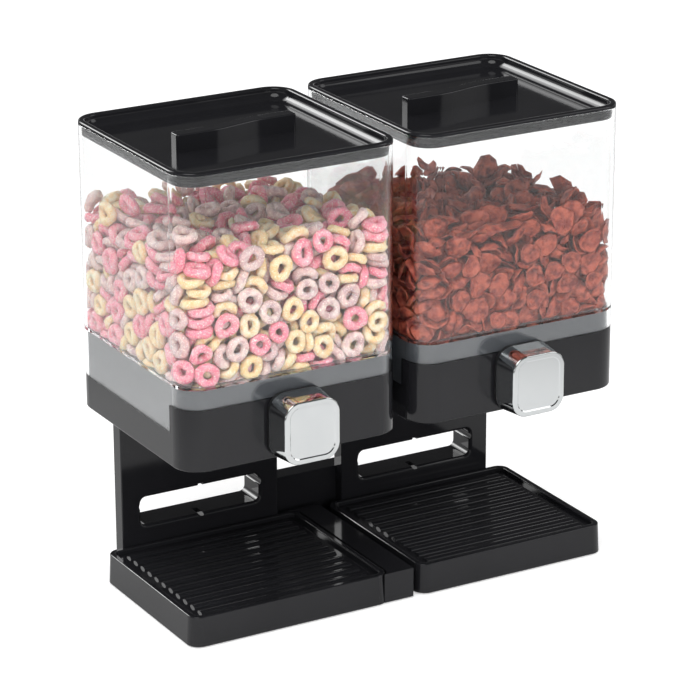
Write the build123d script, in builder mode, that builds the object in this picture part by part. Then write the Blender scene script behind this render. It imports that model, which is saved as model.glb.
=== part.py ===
from build123d import *
import os

# A twin dry-food dispenser: two equal units side by side on one stand.
# Millimetres. X runs across both units, Y from front to back, Z up from the table.

# Units and their hoppers
unit_gap = 12.0
hopper_width = 162.0
hopper_depth = 162.0
hopper_corner = 18.0
hopper_wall = 2.2
hopper_height = 176.5
hopper_lip_radius = 0.8
ledge_root = 1.1
ledge_reach = 3.4
ledge_thickness = 2.0

# Housing under each hopper
stand_height = 126.5
housing_wall = 2.5
housing_floor = 2.5
housing_side_height = 23.0
housing_front_height = 42.5
bezel_return = 22.0
housing_base_radius = 1.4

# Funnel insert
funnel_wall = 2.0
funnel_rim_height = 55.5
funnel_skirt = 40.0
funnel_brim = 1.0
funnel_plate = 3.0
funnel_foot = 2.0
throat_corner = 2.0

# Dosing drum and its paddle wheel
axle_height = 23.2
wheel_radius = 20.0
wheel_length = 60.0
wheel_hub_radius = 7.0
vane_count = 6
vane_thickness = 1.6
drum_clearance = 0.6
drum_wall = 2.0
drum_end_gap = 1.0
drum_end_wall = 2.5
mouth_width = 38.6
outlet_width = 29.0
drum_flange_reach = 8.0
drum_flange_height = 7.5
drum_flange_thickness = 2.0
collar_reach = 7.0
collar_thickness = 2.5
spout_drop = 16.0
catch_length = 20.0
catch_height = 1.2
catch_reach = 1.0

# Drive shaft and its bushes
journal_radius = 4.0
shaft_square = 5.4
tail_radius = 2.5
running_gap = 0.05
bush_wall = 2.0
bush_flange_reach = 2.0
bush_flange_thickness = 1.5

# Knob
knob_width = 40.5
knob_height = 43.0
knob_corner = 11.0
knob_depth = 19.0
knob_draft = 1.6
knob_edge = 1.0
knob_border = 3.4
panel_slope = 0.8
panel_depth = 0.45
cap_wall = 1.6
knob_flange = 2.8
knob_gap = 0.7
core_wall = 2.0
core_boss_radius = 6.5
core_web = 2.0
shaft_reach_in_knob = 15.0
knob_screw_length = 9.0

# Lid
lid_flange = 2.2
lid_rim = 4.6
lid_rim_radius = 1.4
lid_dish_depth = 8.4
lid_floor = 1.8
lid_foot_radius = 1.2
dish_cove = 6.8
plug_clearance = 0.5
seal_height = 2.6
seal_groove = 1.0
seal_lift = 3.0
handle_length = 92.0
handle_width = 10.0
handle_shift = 3.5
handle_bend_length = 46.0
handle_corner = 1.8
handle_height = 12.0
handle_edge = 0.8

# Tray
tray_side_inset = 5.5
tray_setback = 6.0
tray_height = 21.0
tray_corner = 9.0
tray_draft = 1.0
tray_wall = 2.2
tray_rim = 4.2
tray_edge = 0.9
deck_recess = 3.0
deck_thickness = 2.0
rib_pitch = 10.6
rib_width = 6.4
rib_height = 1.6
rib_end_margin = 7.0
rib_side_margin = 4.0

# Foot plate under tray and pillar
foot_stand = 1.0
foot_thickness = 3.0
foot_side_gap = 1.2
foot_tongue_lap = 15.0
tray_post_radius = 4.0
tray_post_inset = 22.0
pad_radius = 6.5
pad_thickness = 2.0
pad_inset = 14.0
foot_screw_spread = 34.0

# Pillar
pillar_width = 122.0
pillar_depth = 23.0
pillar_side_depth = 10.5
pillar_wall = 2.5
pillar_edge = 0.8
core_inset = 9.0
core_plate = 3.0
slot_width = 93.0
slot_height = 20.6
slot_centre_height = 44.7
slot_corner = 4.5
slot_edge = 2.2
duct_wall = 1.5
groove_width = 4.0
groove_depth = 2.0
groove_length = 11.5
ear_radius = 3.5
ear_inset = 2.2
ear_lift = 4.0

# Bridge and spacer between the two units
bridge_height = 44.5
bridge_setback = 9.0
bridge_wall = 2.5
spacer_stop_gap = 4.5
spacer_setback = 1.0
spacer_wall = 2.2
spacer_screw_pitch = 9.0

# Screws and small clearances
screw_radius = 1.4
screw_head_radius = 2.9
screw_head_height = 1.6
screw_recess_width = 0.8
screw_recess_depth = 0.9
screw_boss_radius = 3.4
screw_bite = 8.0
screw_tip_room = 1.0
screw_gap = 0.05
seat_clearance = 0.3
fit_gap = 0.2
pillar_screw_spread = 84.0
pillar_screw_low = 12.0
pillar_screw_drop = 24.5
housing_screw_pitch = 28.0
housing_screw_count = 4
housing_screw_setback = 9.0
bridge_screw_low = 14.0
bridge_screw_high = 26.0
bridge_screw_setback = 6.5

# Places worked out from the sizes above
unit_pitch = hopper_width + unit_gap
knob_reach = knob_gap + knob_flange + knob_depth
front_y = (knob_reach - hopper_depth) / 2
back_y = front_y + hopper_depth
mid_y = front_y + hopper_depth / 2
axle_z = stand_height + axle_height
side_rim_z = stand_height + housing_side_height
front_rim_z = stand_height + housing_front_height
floor_z = stand_height + housing_floor
funnel_rim_z = stand_height + funnel_rim_height
hopper_top_z = side_rim_z + hopper_height
lid_top_z = hopper_top_z + lid_flange
dish_z = lid_top_z - lid_dish_depth
lid_foot_z = dish_z - lid_floor
tray_top_z = foot_stand + tray_height
deck_z = tray_top_z - deck_recess
deck_under_z = deck_z - deck_thickness
foot_top_z = foot_stand + foot_thickness
tray_width = hopper_width - 2 * tray_side_inset
tray_depth = hopper_depth - tray_setback - pillar_depth
rib_room = tray_depth - 2 * (tray_draft + tray_rim + rib_side_margin) - rib_width
rib_count = int(rib_room // rib_pitch) + 1
tray_front_y = front_y + tray_setback
pillar_y = tray_front_y + tray_depth
tray_mid_y = tray_front_y + tray_depth / 2
pillar_rear_y = pillar_y + pillar_side_depth
pillar_height = stand_height - foot_top_z
duct_margin = duct_wall + ear_radius - ear_inset
core_width = pillar_width - 2 * core_inset
drum_bore = wheel_radius + drum_clearance
drum_radius = drum_bore + drum_wall
drum_length = wheel_length + 2 * drum_end_gap
drum_front_y = mid_y - drum_length / 2
drum_back_y = mid_y + drum_length / 2
drum_flange_z = axle_z + drum_flange_height
drum_seat_z = drum_flange_z + drum_flange_thickness
spout_width = outlet_width + 2 * drum_wall
spout_length = drum_length + 2 * drum_end_wall
socket_square = shaft_square + 2 * running_gap
shaft_tip_y = front_y - shaft_reach_in_knob
knob_rear_y = front_y - knob_gap
cap_rear_y = knob_rear_y - knob_flange
knob_face_y = cap_rear_y - knob_depth
funnel_inset = housing_wall + seat_clearance
plug_inset = hopper_wall + plug_clearance
bridge_y = pillar_y + bridge_setback
core_side_x = (unit_pitch - core_width) / 2
shell_side_x = (unit_pitch - pillar_width) / 2
spacer_left_x = (tray_width - unit_pitch) / 2 + seat_clearance
spacer_right_x = (unit_pitch - tray_width) / 2 - spacer_stop_gap
spacer_mid_x = (spacer_left_x + spacer_right_x) / 2
spacer_width = spacer_right_x - spacer_left_x
unit_x = {"left": -unit_pitch / 2, "right": unit_pitch / 2}

os.makedirs("parts", exist_ok=True)


def save(piece, name):
    piece.part.label = name
    export_step(piece.part, f"parts/{name}.step")


# Upright plane that faces the front: local x is +X, local y is +Z, its normal is -Y
def front_plane(x, y, z):
    return Plane(origin=(x, y, z), x_dir=(1, 0, 0), z_dir=(0, -1, 0))


# Upright plane that faces the back: its normal is +Y
def back_plane(x, y, z):
    return Plane(origin=(x, y, z), x_dir=(-1, 0, 0), z_dir=(0, 1, 0))


# Upright plane that faces right: local x is +Y, local y is +Z, its normal is +X
def right_plane(x, y, z):
    return Plane(origin=(x, y, z), x_dir=(0, 1, 0), z_dir=(1, 0, 0))


# Upright plane that faces left: its normal is -X
def left_plane(x, y, z):
    return Plane(origin=(x, y, z), x_dir=(0, -1, 0), z_dir=(-1, 0, 0))


# Level plane that looks up
def up_plane(x, y, z):
    return Plane(origin=(x, y, z))


# Level plane that looks down
def down_plane(x, y, z):
    return Plane(origin=(x, y, z), x_dir=(1, 0, 0), z_dir=(0, 0, -1))


# The hopper's rounded square, drawn in by an inset
def unit_plan(cx, inset, z):
    with BuildSketch(Plane.XY.offset(z)) as outline:
        with Locations((cx, mid_y)):
            RectangleRounded(hopper_width - 2 * inset, hopper_depth - 2 * inset, hopper_corner - inset)
    return outline.sketch


# The band between two insets of the hopper's rounded square
def unit_band(cx, outer_inset, inner_inset, z):
    with BuildSketch(Plane.XY.offset(z)) as outline:
        with Locations((cx, mid_y)):
            for inset, mode in ((outer_inset, Mode.ADD), (inner_inset, Mode.SUBTRACT)):
                RectangleRounded(
                    hopper_width - 2 * inset,
                    hopper_depth - 2 * inset,
                    hopper_corner - inset,
                    mode=mode,
                )
    return outline.sketch


# The drum's mouth, grown by a margin
def throat_plan(cx, margin, z):
    with BuildSketch(Plane.XY.offset(z)) as outline:
        with Locations((cx, mid_y)):
            RectangleRounded(mouth_width + 2 * margin, drum_length + 2 * margin, throat_corner + margin)
    return outline.sketch


# The tray's outline at its foot, drawn in by an inset
def tray_plan(cx, inset, z):
    with BuildSketch(Plane.XY.offset(z)) as outline:
        with Locations((cx, tray_mid_y)):
            RectangleRounded(tray_width - 2 * inset, tray_depth - 2 * inset, tray_corner - inset)
    return outline.sketch


# A rectangle between two depths
def strip_plan(cx, width, y0, y1, z):
    with BuildSketch(Plane.XY.offset(z)) as outline:
        with Locations((cx, (y0 + y1) / 2)):
            Rectangle(width, y1 - y0)
    return outline.sketch


# The knob's rounded square on an upright plane, wider towards the rear by its draft
def knob_outline(cx, inset, y):
    draft = knob_draft * min((y - knob_face_y) / knob_depth, 1)
    grown = draft - inset
    with BuildSketch(front_plane(cx, y, axle_z)) as outline:
        RectangleRounded(knob_width + 2 * grown, knob_height + 2 * grown, knob_corner + grown)
    return outline.sketch


# The knob's drafted block between its rear and a front plane
def knob_loft(cx, inset, front, mode):
    loft([knob_outline(cx, inset, cap_rear_y), knob_outline(cx, inset, front)], ruled=True, mode=mode)


# The window slot in the pillar, grown by a margin
def slot_outline(cx, margin, y):
    with BuildSketch(front_plane(cx, y, slot_centre_height)) as outline:
        RectangleRounded(slot_width + 2 * margin, slot_height + 2 * margin, slot_corner + margin)
    return outline.sketch


# Screws with their heads standing on the planes and their shanks below them
def make_screws(planes, length):
    with BuildPart() as screws:
        with BuildSketch(*planes):
            Circle(screw_head_radius)
        extrude(amount=screw_head_height)
        with BuildSketch(*planes):
            Circle(screw_radius)
        extrude(amount=-length)
        with BuildSketch(*[plane.offset(screw_head_height) for plane in planes]):
            Rectangle(screw_head_radius, screw_recess_width)
            Rectangle(screw_recess_width, screw_head_radius)
        extrude(amount=-screw_recess_depth, mode=Mode.SUBTRACT)
    return screws


def pillar_screw_planes(cx, y):
    return [
        back_plane(cx + side * pillar_screw_spread / 2, y, z)
        for side in (-1, 1)
        for z in (foot_top_z + pillar_screw_low, stand_height - pillar_screw_drop)
    ]


def housing_screw_planes(cx, z):
    middle = (housing_screw_count - 1) / 2
    return [
        up_plane(cx + (i - middle) * housing_screw_pitch, back_y - housing_screw_setback, z)
        for i in range(housing_screw_count)
    ]


def foot_screw_planes(cx, z):
    return [
        down_plane(cx + side * foot_screw_spread / 2, (pillar_rear_y + back_y) / 2, z)
        for side in (-1, 1)
    ]


def bridge_screw_planes(reach):
    return [
        plane(side * reach, back_y - bridge_screw_setback, height)
        for side, plane in ((1, right_plane), (-1, left_plane))
        for height in (bridge_screw_low, bridge_screw_high)
    ]


def spacer_screw_planes(z):
    return [
        down_plane(spacer_mid_x + side * spacer_screw_pitch / 2, (bridge_y + back_y) / 2, z)
        for side in (-1, 1)
    ]


# Drip and bowl tray: drafted shell, open below, with a ribbed deck inside its rim
def make_tray(cx):
    rib_length = tray_width - 2 * (tray_draft + tray_rim + rib_end_margin)
    with BuildPart() as tray:
        loft([tray_plan(cx, 0, foot_stand), tray_plan(cx, tray_draft, tray_top_z)], ruled=True)
        extrude(tray_plan(cx, tray_draft + tray_rim, tray_top_z), amount=-deck_recess, mode=Mode.SUBTRACT)
        fillet(tray.edges().group_by(Axis.Z)[-1], tray_edge)
        loft(
            [tray_plan(cx, tray_wall, foot_stand), tray_plan(cx, tray_draft + tray_wall, deck_under_z)],
            ruled=True,
            mode=Mode.SUBTRACT,
        )
        with BuildSketch(right_plane(cx - rib_length / 2, tray_mid_y, deck_z)):
            with GridLocations(rib_pitch, 0, rib_count, 1):
                Ellipse(rib_width / 2, rib_height)
        extrude(amount=rib_length)
        notch_y = pillar_y - tray_draft - tray_wall - fit_gap
        notch = strip_plan(cx, pillar_width + 2 * fit_gap, notch_y, pillar_y, foot_stand)
        extrude(notch, amount=foot_thickness + seat_clearance, mode=Mode.SUBTRACT)
    return tray


# Foot plate: lies inside the tray and runs back under the pillar
def make_foot(cx):
    with BuildPart() as foot:
        extrude(tray_plan(cx, tray_wall + foot_side_gap, foot_stand), amount=foot_thickness)
        extrude(
            strip_plan(cx, pillar_width, pillar_y - foot_tongue_lap, pillar_rear_y, foot_stand),
            amount=foot_thickness,
        )
        extrude(strip_plan(cx, core_width, pillar_rear_y, back_y, foot_stand), amount=foot_thickness)
        with BuildSketch(up_plane(cx, tray_mid_y, foot_top_z)):
            with GridLocations(tray_width - 2 * tray_post_inset, tray_depth - 2 * tray_post_inset, 2, 2):
                Circle(tray_post_radius)
        extrude(amount=deck_under_z - foot_top_z)
        with BuildSketch(*pad_planes(cx, foot_stand)):
            Circle(pad_radius + fit_gap)
        extrude(amount=pad_thickness - foot_stand, mode=Mode.SUBTRACT)
        with BuildSketch(*foot_screw_planes(cx, foot_stand)):
            Circle(screw_head_radius + fit_gap)
        extrude(amount=-screw_head_height, mode=Mode.SUBTRACT)
        with BuildSketch(*foot_screw_planes(cx, foot_stand)):
            Circle(screw_radius + screw_gap)
        extrude(amount=-foot_thickness, mode=Mode.SUBTRACT)
    return foot


def pad_planes(cx, z):
    front = tray_front_y + pad_inset
    rear = back_y - pad_inset
    return [
        up_plane(cx + side * half_spread, y, z)
        for half_spread, y in ((tray_width / 2 - pad_inset, front), (core_width / 2 - pad_inset, rear))
        for side in (-1, 1)
    ]


def make_pads(cx):
    with BuildPart() as pads:
        with BuildSketch(*pad_planes(cx, 0)):
            Circle(pad_radius)
        extrude(amount=pad_thickness)
    return pads


# Pillar's front shell with the window duct through to the back
def make_pillar_front(cx):
    middle_z = (foot_top_z + stand_height) / 2
    with BuildPart() as shell:
        with BuildSketch(front_plane(cx, pillar_y, middle_z)):
            Rectangle(pillar_width, pillar_height)
        extrude(amount=-pillar_side_depth)
        fillet(shell.edges().filter_by(Axis.Z).group_by(Axis.Y)[0], pillar_edge)
        with BuildSketch(front_plane(cx, pillar_y + pillar_wall, middle_z)):
            Rectangle(pillar_width - 2 * pillar_wall, pillar_height - 2 * pillar_wall)
        extrude(amount=pillar_wall - pillar_side_depth, mode=Mode.SUBTRACT)
        duct_depth = back_y - pillar_y
        extrude(slot_outline(cx, duct_margin, pillar_y + pillar_wall), amount=pillar_wall - duct_depth)
        boss_length = back_y - pillar_wall - (pillar_y + pillar_wall)
        with BuildSketch(*pillar_screw_planes(cx, pillar_y + pillar_wall)):
            Circle(screw_boss_radius)
        extrude(amount=boss_length)
        with BuildSketch(*pillar_screw_planes(cx, back_y - pillar_wall)):
            Circle(screw_radius + screw_gap)
        extrude(amount=-screw_bite - screw_tip_room, mode=Mode.SUBTRACT)
        extrude(slot_outline(cx, 0, pillar_y), amount=-duct_depth, mode=Mode.SUBTRACT)
        front_face = shell.faces().filter_by(Axis.Y).sort_by(Axis.Y)[0]
        fillet(front_face.inner_wires()[0].edges(), slot_edge)
        with BuildSketch(front_plane(cx, pillar_y, slot_centre_height)):
            Rectangle(groove_width, slot_height + 2 * groove_depth)
        extrude(amount=-groove_length, mode=Mode.SUBTRACT)
        with BuildSketch(front_plane(cx, pillar_y, slot_centre_height + ear_lift)):
            with GridLocations(slot_width - 2 * ear_inset, 0, 2, 1):
                Circle(ear_radius)
        extrude(amount=-duct_depth, mode=Mode.SUBTRACT)
    return shell


# Pillar's rear core: closes the shell's back and carries the housing
def make_pillar_core(cx):
    middle_z = (foot_top_z + stand_height) / 2
    core_depth = back_y - pillar_y - pillar_wall
    inner_depth = core_depth - pillar_wall
    with BuildPart() as core:
        with BuildSketch(front_plane(cx, pillar_y + pillar_wall, middle_z)):
            Rectangle(core_width, pillar_height - 2 * pillar_wall)
        extrude(amount=-core_depth)
        with BuildSketch(front_plane(cx, pillar_rear_y, middle_z)):
            Rectangle(core_width, pillar_height)
        extrude(amount=pillar_rear_y - back_y)
        with BuildSketch(front_plane(cx, pillar_rear_y - pillar_wall, middle_z)):
            Rectangle(pillar_width - 2 * pillar_wall, pillar_height - 2 * pillar_wall)
        extrude(amount=-pillar_wall)
        with BuildSketch(front_plane(cx, pillar_y + pillar_wall, middle_z)):
            Rectangle(core_width - 2 * pillar_wall, pillar_height - 2 * pillar_wall - 2 * core_plate)
        extrude(amount=-inner_depth, mode=Mode.SUBTRACT)
        with BuildSketch(*housing_screw_planes(cx, stand_height - pillar_wall)):
            Circle(screw_boss_radius)
        extrude(amount=-screw_bite - core_plate)
        with BuildSketch(*foot_screw_planes(cx, foot_top_z + pillar_wall)):
            Circle(screw_boss_radius)
        extrude(amount=-screw_bite)
        with BuildSketch(*housing_screw_planes(cx, stand_height)):
            Circle(screw_radius + screw_gap)
        extrude(amount=-screw_bite - screw_tip_room, mode=Mode.SUBTRACT)
        with BuildSketch(*foot_screw_planes(cx, foot_top_z)):
            Circle(screw_radius + screw_gap)
        extrude(amount=-screw_bite - screw_tip_room, mode=Mode.SUBTRACT)
        with BuildSketch(*pillar_screw_planes(cx, back_y)):
            Circle(screw_head_radius + fit_gap)
        extrude(amount=-screw_head_height, mode=Mode.SUBTRACT)
        with BuildSketch(*pillar_screw_planes(cx, back_y)):
            Circle(screw_radius + screw_gap)
        extrude(amount=-pillar_wall, mode=Mode.SUBTRACT)
        with BuildSketch(*bridge_screw_planes(core_side_x + pillar_wall)):
            Circle(screw_radius + screw_gap)
        extrude(amount=-pillar_wall, mode=Mode.SUBTRACT)
        extrude(slot_outline(cx, duct_margin + screw_gap, back_y), amount=pillar_wall, mode=Mode.SUBTRACT)
    return core


# Housing: a tray with a stepped rim, high at the front and low round the sides and back
def make_housing(cx):
    with BuildPart() as housing:
        extrude(unit_plan(cx, 0, stand_height), amount=housing_front_height)
        fillet(housing.edges().group_by(Axis.Z)[0], housing_base_radius)
        extrude(unit_plan(cx, housing_wall, floor_z), amount=housing_front_height, mode=Mode.SUBTRACT)
        low_part = strip_plan(cx, hopper_width, front_y + bezel_return, back_y, side_rim_z)
        extrude(low_part, amount=housing_front_height, mode=Mode.SUBTRACT)
        opening = strip_plan(
            cx,
            spout_width + 2 * seat_clearance,
            mid_y - spout_length / 2 - seat_clearance,
            mid_y + spout_length / 2 + seat_clearance,
            stand_height,
        )
        extrude(opening, amount=housing_floor, mode=Mode.SUBTRACT)
        with BuildSketch(front_plane(cx, front_y, axle_z)):
            Circle(journal_radius + running_gap + bush_wall)
        extrude(amount=-housing_wall, mode=Mode.SUBTRACT)
        with BuildSketch(*housing_screw_planes(cx, floor_z)):
            Circle(screw_radius + screw_gap)
        extrude(amount=-housing_floor, mode=Mode.SUBTRACT)
    return housing


# Dosing drum: round trough, mouth above, outlet and spout below, seated on the housing's floor
def make_drum(cx):
    length = spout_length
    rear = mid_y + length / 2
    with BuildPart() as drum:
        with BuildSketch(back_plane(cx, mid_y - length / 2, axle_z)):
            Circle(drum_radius)
            with Locations((0, drum_flange_height + drum_flange_thickness)):
                Rectangle(2 * drum_radius, drum_radius, align=(Align.CENTER, Align.MIN), mode=Mode.SUBTRACT)
            with Locations((0, drum_flange_height)):
                Rectangle(
                    mouth_width + 2 * drum_flange_reach,
                    drum_flange_thickness,
                    align=(Align.CENTER, Align.MIN),
                )
        extrude(amount=length)
        spout = strip_plan(cx, spout_width, mid_y - length / 2, rear, stand_height - spout_drop)
        extrude(spout, amount=axle_z - wheel_hub_radius - stand_height + spout_drop)
        collar = strip_plan(
            cx,
            spout_width + 2 * collar_reach,
            mid_y - length / 2 - collar_reach,
            rear + collar_reach,
            floor_z,
        )
        extrude(collar, amount=collar_thickness)
        catches = strip_plan(
            cx,
            spout_width + 2 * catch_reach,
            mid_y - catch_length / 2,
            mid_y + catch_length / 2,
            stand_height - fit_gap - catch_height,
        )
        extrude(catches, amount=catch_height)
        with BuildSketch(back_plane(cx, drum_front_y, axle_z)):
            Circle(drum_bore)
        extrude(amount=drum_length, mode=Mode.SUBTRACT)
        mouth = strip_plan(cx, mouth_width, drum_front_y, drum_back_y, axle_z)
        extrude(mouth, amount=drum_seat_z - axle_z, mode=Mode.SUBTRACT)
        outlet = strip_plan(cx, outlet_width, drum_front_y, drum_back_y, stand_height - spout_drop)
        extrude(outlet, amount=axle_z - stand_height + spout_drop, mode=Mode.SUBTRACT)
        with BuildSketch(front_plane(cx, mid_y - length / 2, axle_z)):
            Circle(journal_radius + seat_clearance)
        extrude(amount=-drum_end_wall, mode=Mode.SUBTRACT)
        with BuildSketch(front_plane(cx, drum_back_y, axle_z)):
            Circle(tail_radius + running_gap + bush_wall)
        extrude(amount=-drum_end_wall, mode=Mode.SUBTRACT)
    return drum


# Funnel: skirt inside the hopper's foot, slopes down to the drum's mouth
def make_funnel(cx):
    throat = throat_plan(cx, 0, drum_seat_z + funnel_foot)
    slope_z = funnel_rim_z - funnel_brim
    under_z = slope_z - funnel_plate
    inner_inset = funnel_inset + funnel_wall
    bush_room = journal_radius + running_gap + bush_wall + bush_flange_reach + seat_clearance
    with BuildPart() as funnel:
        extrude(unit_band(cx, funnel_inset, inner_inset, funnel_rim_z), amount=-funnel_skirt)
        loft([throat_plan(cx, funnel_wall, drum_seat_z), unit_plan(cx, inner_inset, under_z)], ruled=True)
        extrude(unit_plan(cx, inner_inset, under_z), amount=funnel_plate)
        loft([throat, unit_plan(cx, inner_inset, slope_z)], ruled=True, mode=Mode.SUBTRACT)
        extrude(throat, amount=-funnel_foot, mode=Mode.SUBTRACT)
        with BuildSketch(front_plane(cx, front_y + funnel_inset, axle_z)):
            Circle(bush_room)
            Rectangle(2 * bush_room, funnel_skirt, align=(Align.CENTER, Align.MAX))
        extrude(amount=-funnel_wall, mode=Mode.SUBTRACT)
    return funnel


# Flanged bush along Y, its flange towards the back
def make_bush(cx, y, bore, length):
    with BuildPart() as bush:
        with BuildSketch(back_plane(cx, y, axle_z)):
            Circle(bore + bush_wall)
        extrude(amount=length)
        with BuildSketch(back_plane(cx, y + length, axle_z)):
            Circle(bore + bush_wall + bush_flange_reach)
        extrude(amount=bush_flange_thickness)
        with BuildSketch(back_plane(cx, y, axle_z)):
            Circle(bore)
        extrude(amount=length + bush_flange_thickness, mode=Mode.SUBTRACT)
    return bush


# Drive shaft: square in the knob, round in the front bush, square in the wheel, thin tail in the rear bush
def make_shaft(cx):
    tail_y = drum_back_y + drum_end_wall + bush_flange_thickness
    with BuildPart() as shaft:
        with BuildSketch(back_plane(cx, shaft_tip_y, axle_z)):
            Rectangle(shaft_square, shaft_square)
        extrude(amount=drum_back_y - shaft_tip_y)
        with BuildSketch(back_plane(cx, knob_rear_y, axle_z)):
            Circle(journal_radius)
        extrude(amount=drum_front_y - knob_rear_y)
        with BuildSketch(back_plane(cx, drum_back_y, axle_z)):
            Circle(tail_radius)
        extrude(amount=tail_y - drum_back_y)
        with BuildSketch(back_plane(cx, shaft_tip_y, axle_z)):
            Circle(screw_radius + screw_gap)
        extrude(amount=knob_screw_length, mode=Mode.SUBTRACT)
    return shaft


def make_wheel(cx):
    with BuildPart() as wheel:
        with BuildSketch(back_plane(cx, mid_y - wheel_length / 2, axle_z)):
            Circle(wheel_hub_radius)
            with PolarLocations(0, vane_count):
                Rectangle(wheel_radius, vane_thickness, align=(Align.MIN, Align.CENTER))
            Rectangle(socket_square, socket_square, mode=Mode.SUBTRACT)
        extrude(amount=wheel_length)
    return wheel


# Knob core: rear flange, wall inside the cap and a square-socketed boss on the shaft
def make_knob_core(cx):
    wall_inset = cap_wall + fit_gap
    core_face_y = knob_face_y + cap_wall
    boss_y = shaft_tip_y - core_web - screw_head_height
    with BuildPart() as core:
        extrude(knob_outline(cx, 0, knob_rear_y), amount=knob_flange)
        knob_loft(cx, wall_inset, core_face_y, Mode.ADD)
        knob_loft(cx, wall_inset + core_wall, core_face_y, Mode.SUBTRACT)
        with BuildSketch(front_plane(cx, cap_rear_y, axle_z)):
            Circle(core_boss_radius)
        extrude(amount=cap_rear_y - boss_y)
        with BuildSketch(front_plane(cx, knob_rear_y, axle_z)):
            Rectangle(socket_square, socket_square)
        extrude(amount=knob_rear_y - shaft_tip_y, mode=Mode.SUBTRACT)
        with BuildSketch(front_plane(cx, shaft_tip_y, axle_z)):
            Circle(screw_radius + screw_gap)
        extrude(amount=core_web, mode=Mode.SUBTRACT)
        with BuildSketch(front_plane(cx, shaft_tip_y - core_web, axle_z)):
            Circle(screw_head_radius + fit_gap)
        extrude(amount=screw_head_height, mode=Mode.SUBTRACT)
    return core


# Knob cap: bright shell over the core, its face sunk a little inside a plain border
def make_knob_cap(cx):
    with BuildPart() as cap:
        knob_loft(cx, 0, knob_face_y, Mode.ADD)
        fillet(cap.faces().sort_by(Axis.Y)[0].edges(), knob_edge)
        knob_loft(cx, cap_wall, knob_face_y + cap_wall, Mode.SUBTRACT)
        panel = knob_outline(cx, knob_border, knob_face_y)
        panel_floor = knob_outline(cx, knob_border + panel_slope, knob_face_y + panel_depth)
        loft([panel, panel_floor], ruled=True, mode=Mode.SUBTRACT)
    return cap


# Hopper: clear square tube with a stepped foot and an inner ledge over the funnel's rim
def make_hopper(cx):
    with BuildPart() as hopper:
        extrude(unit_plan(cx, 0, side_rim_z), amount=hopper_height)
        fillet(hopper.edges().group_by(Axis.Z)[-1], hopper_lip_radius)
        extrude(unit_plan(cx, hopper_wall, side_rim_z), amount=hopper_height, mode=Mode.SUBTRACT)
        ledge_z = funnel_rim_z + seat_clearance
        ledge_outline = unit_plan(cx, ledge_root, ledge_z)
        extrude(ledge_outline, amount=ledge_thickness)
        ledge_hole = unit_plan(cx, hopper_wall + ledge_reach, ledge_z)
        extrude(ledge_hole, amount=ledge_thickness, mode=Mode.SUBTRACT)
        step = strip_plan(cx, hopper_width, front_y, front_y + bezel_return + seat_clearance, side_rim_z)
        extrude(step, amount=front_rim_z - side_rim_z, mode=Mode.SUBTRACT)
    return hopper


# The handle's plan: a bar with two level ends, the right one set back, and a wave between them
def handle_plan(cx, z):
    half = handle_length / 2
    bend = handle_bend_length / 2
    with BuildSketch(Plane.XY.offset(z)) as outline:
        with BuildLine():
            for edge in (-handle_width / 2, handle_width / 2):
                near_y = mid_y - handle_shift + edge
                far_y = mid_y + handle_shift + edge
                Line((cx - half, near_y), (cx - bend, near_y))
                Spline((cx - bend, near_y), (cx + bend, far_y), tangents=((1, 0), (1, 0)))
                Line((cx + bend, far_y), (cx + half, far_y))
            for side in (-1, 1):
                end_y = mid_y + side * handle_shift
                end_x = cx + side * half
                Line((end_x, end_y - handle_width / 2), (end_x, end_y + handle_width / 2))
        make_face()
        ends = outline.vertices().group_by(Axis.X)
        fillet(ends[0] + ends[-1], handle_corner)
    return outline.sketch


# Lid: flange on the hopper's lip, a pan inside it with a handle bar on its floor
def make_lid(cx):
    with BuildPart() as lid:
        extrude(unit_plan(cx, 0, hopper_top_z), amount=lid_flange)
        extrude(unit_plan(cx, plug_inset, lid_foot_z), amount=hopper_top_z - lid_foot_z)
        fillet(lid.edges().group_by(Axis.Z)[0], lid_foot_radius)
        extrude(unit_plan(cx, lid_rim, dish_z), amount=lid_dish_depth, mode=Mode.SUBTRACT)
        dish_floor = lid.faces().filter_by(Axis.Z).sort_by(Axis.Z)[1]
        fillet(dish_floor.outer_wire().edges(), dish_cove)
        fillet(lid.edges().group_by(Axis.Z)[-1], lid_rim_radius)
        extrude(handle_plan(cx, dish_z), amount=handle_height)
        fillet(lid.faces().sort_by(Axis.Z)[-1].edges(), handle_edge)
        groove = unit_band(cx, hopper_wall, plug_inset + seal_groove, lid_foot_z + seal_lift)
        extrude(groove, amount=seal_height, mode=Mode.SUBTRACT)
    return lid


def make_seal(cx):
    inner_inset = plug_inset + seal_groove
    with BuildPart() as seal:
        ring = unit_band(cx, hopper_wall + seat_clearance, inner_inset, lid_foot_z + seal_lift)
        extrude(ring, amount=seal_height)
    return seal


# Bridge: hollow block that fills the space between the two pillars, open below
def bridge_plan(inset, z):
    with BuildSketch(Plane.XY.offset(z)) as outline:
        for half_width, y in ((shell_side_x, bridge_y), (core_side_x, pillar_rear_y)):
            with Locations((0, y + inset)):
                Rectangle(2 * (half_width - inset), back_y - y - 2 * inset, align=(Align.CENTER, Align.MIN))
    return outline.sketch


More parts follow.
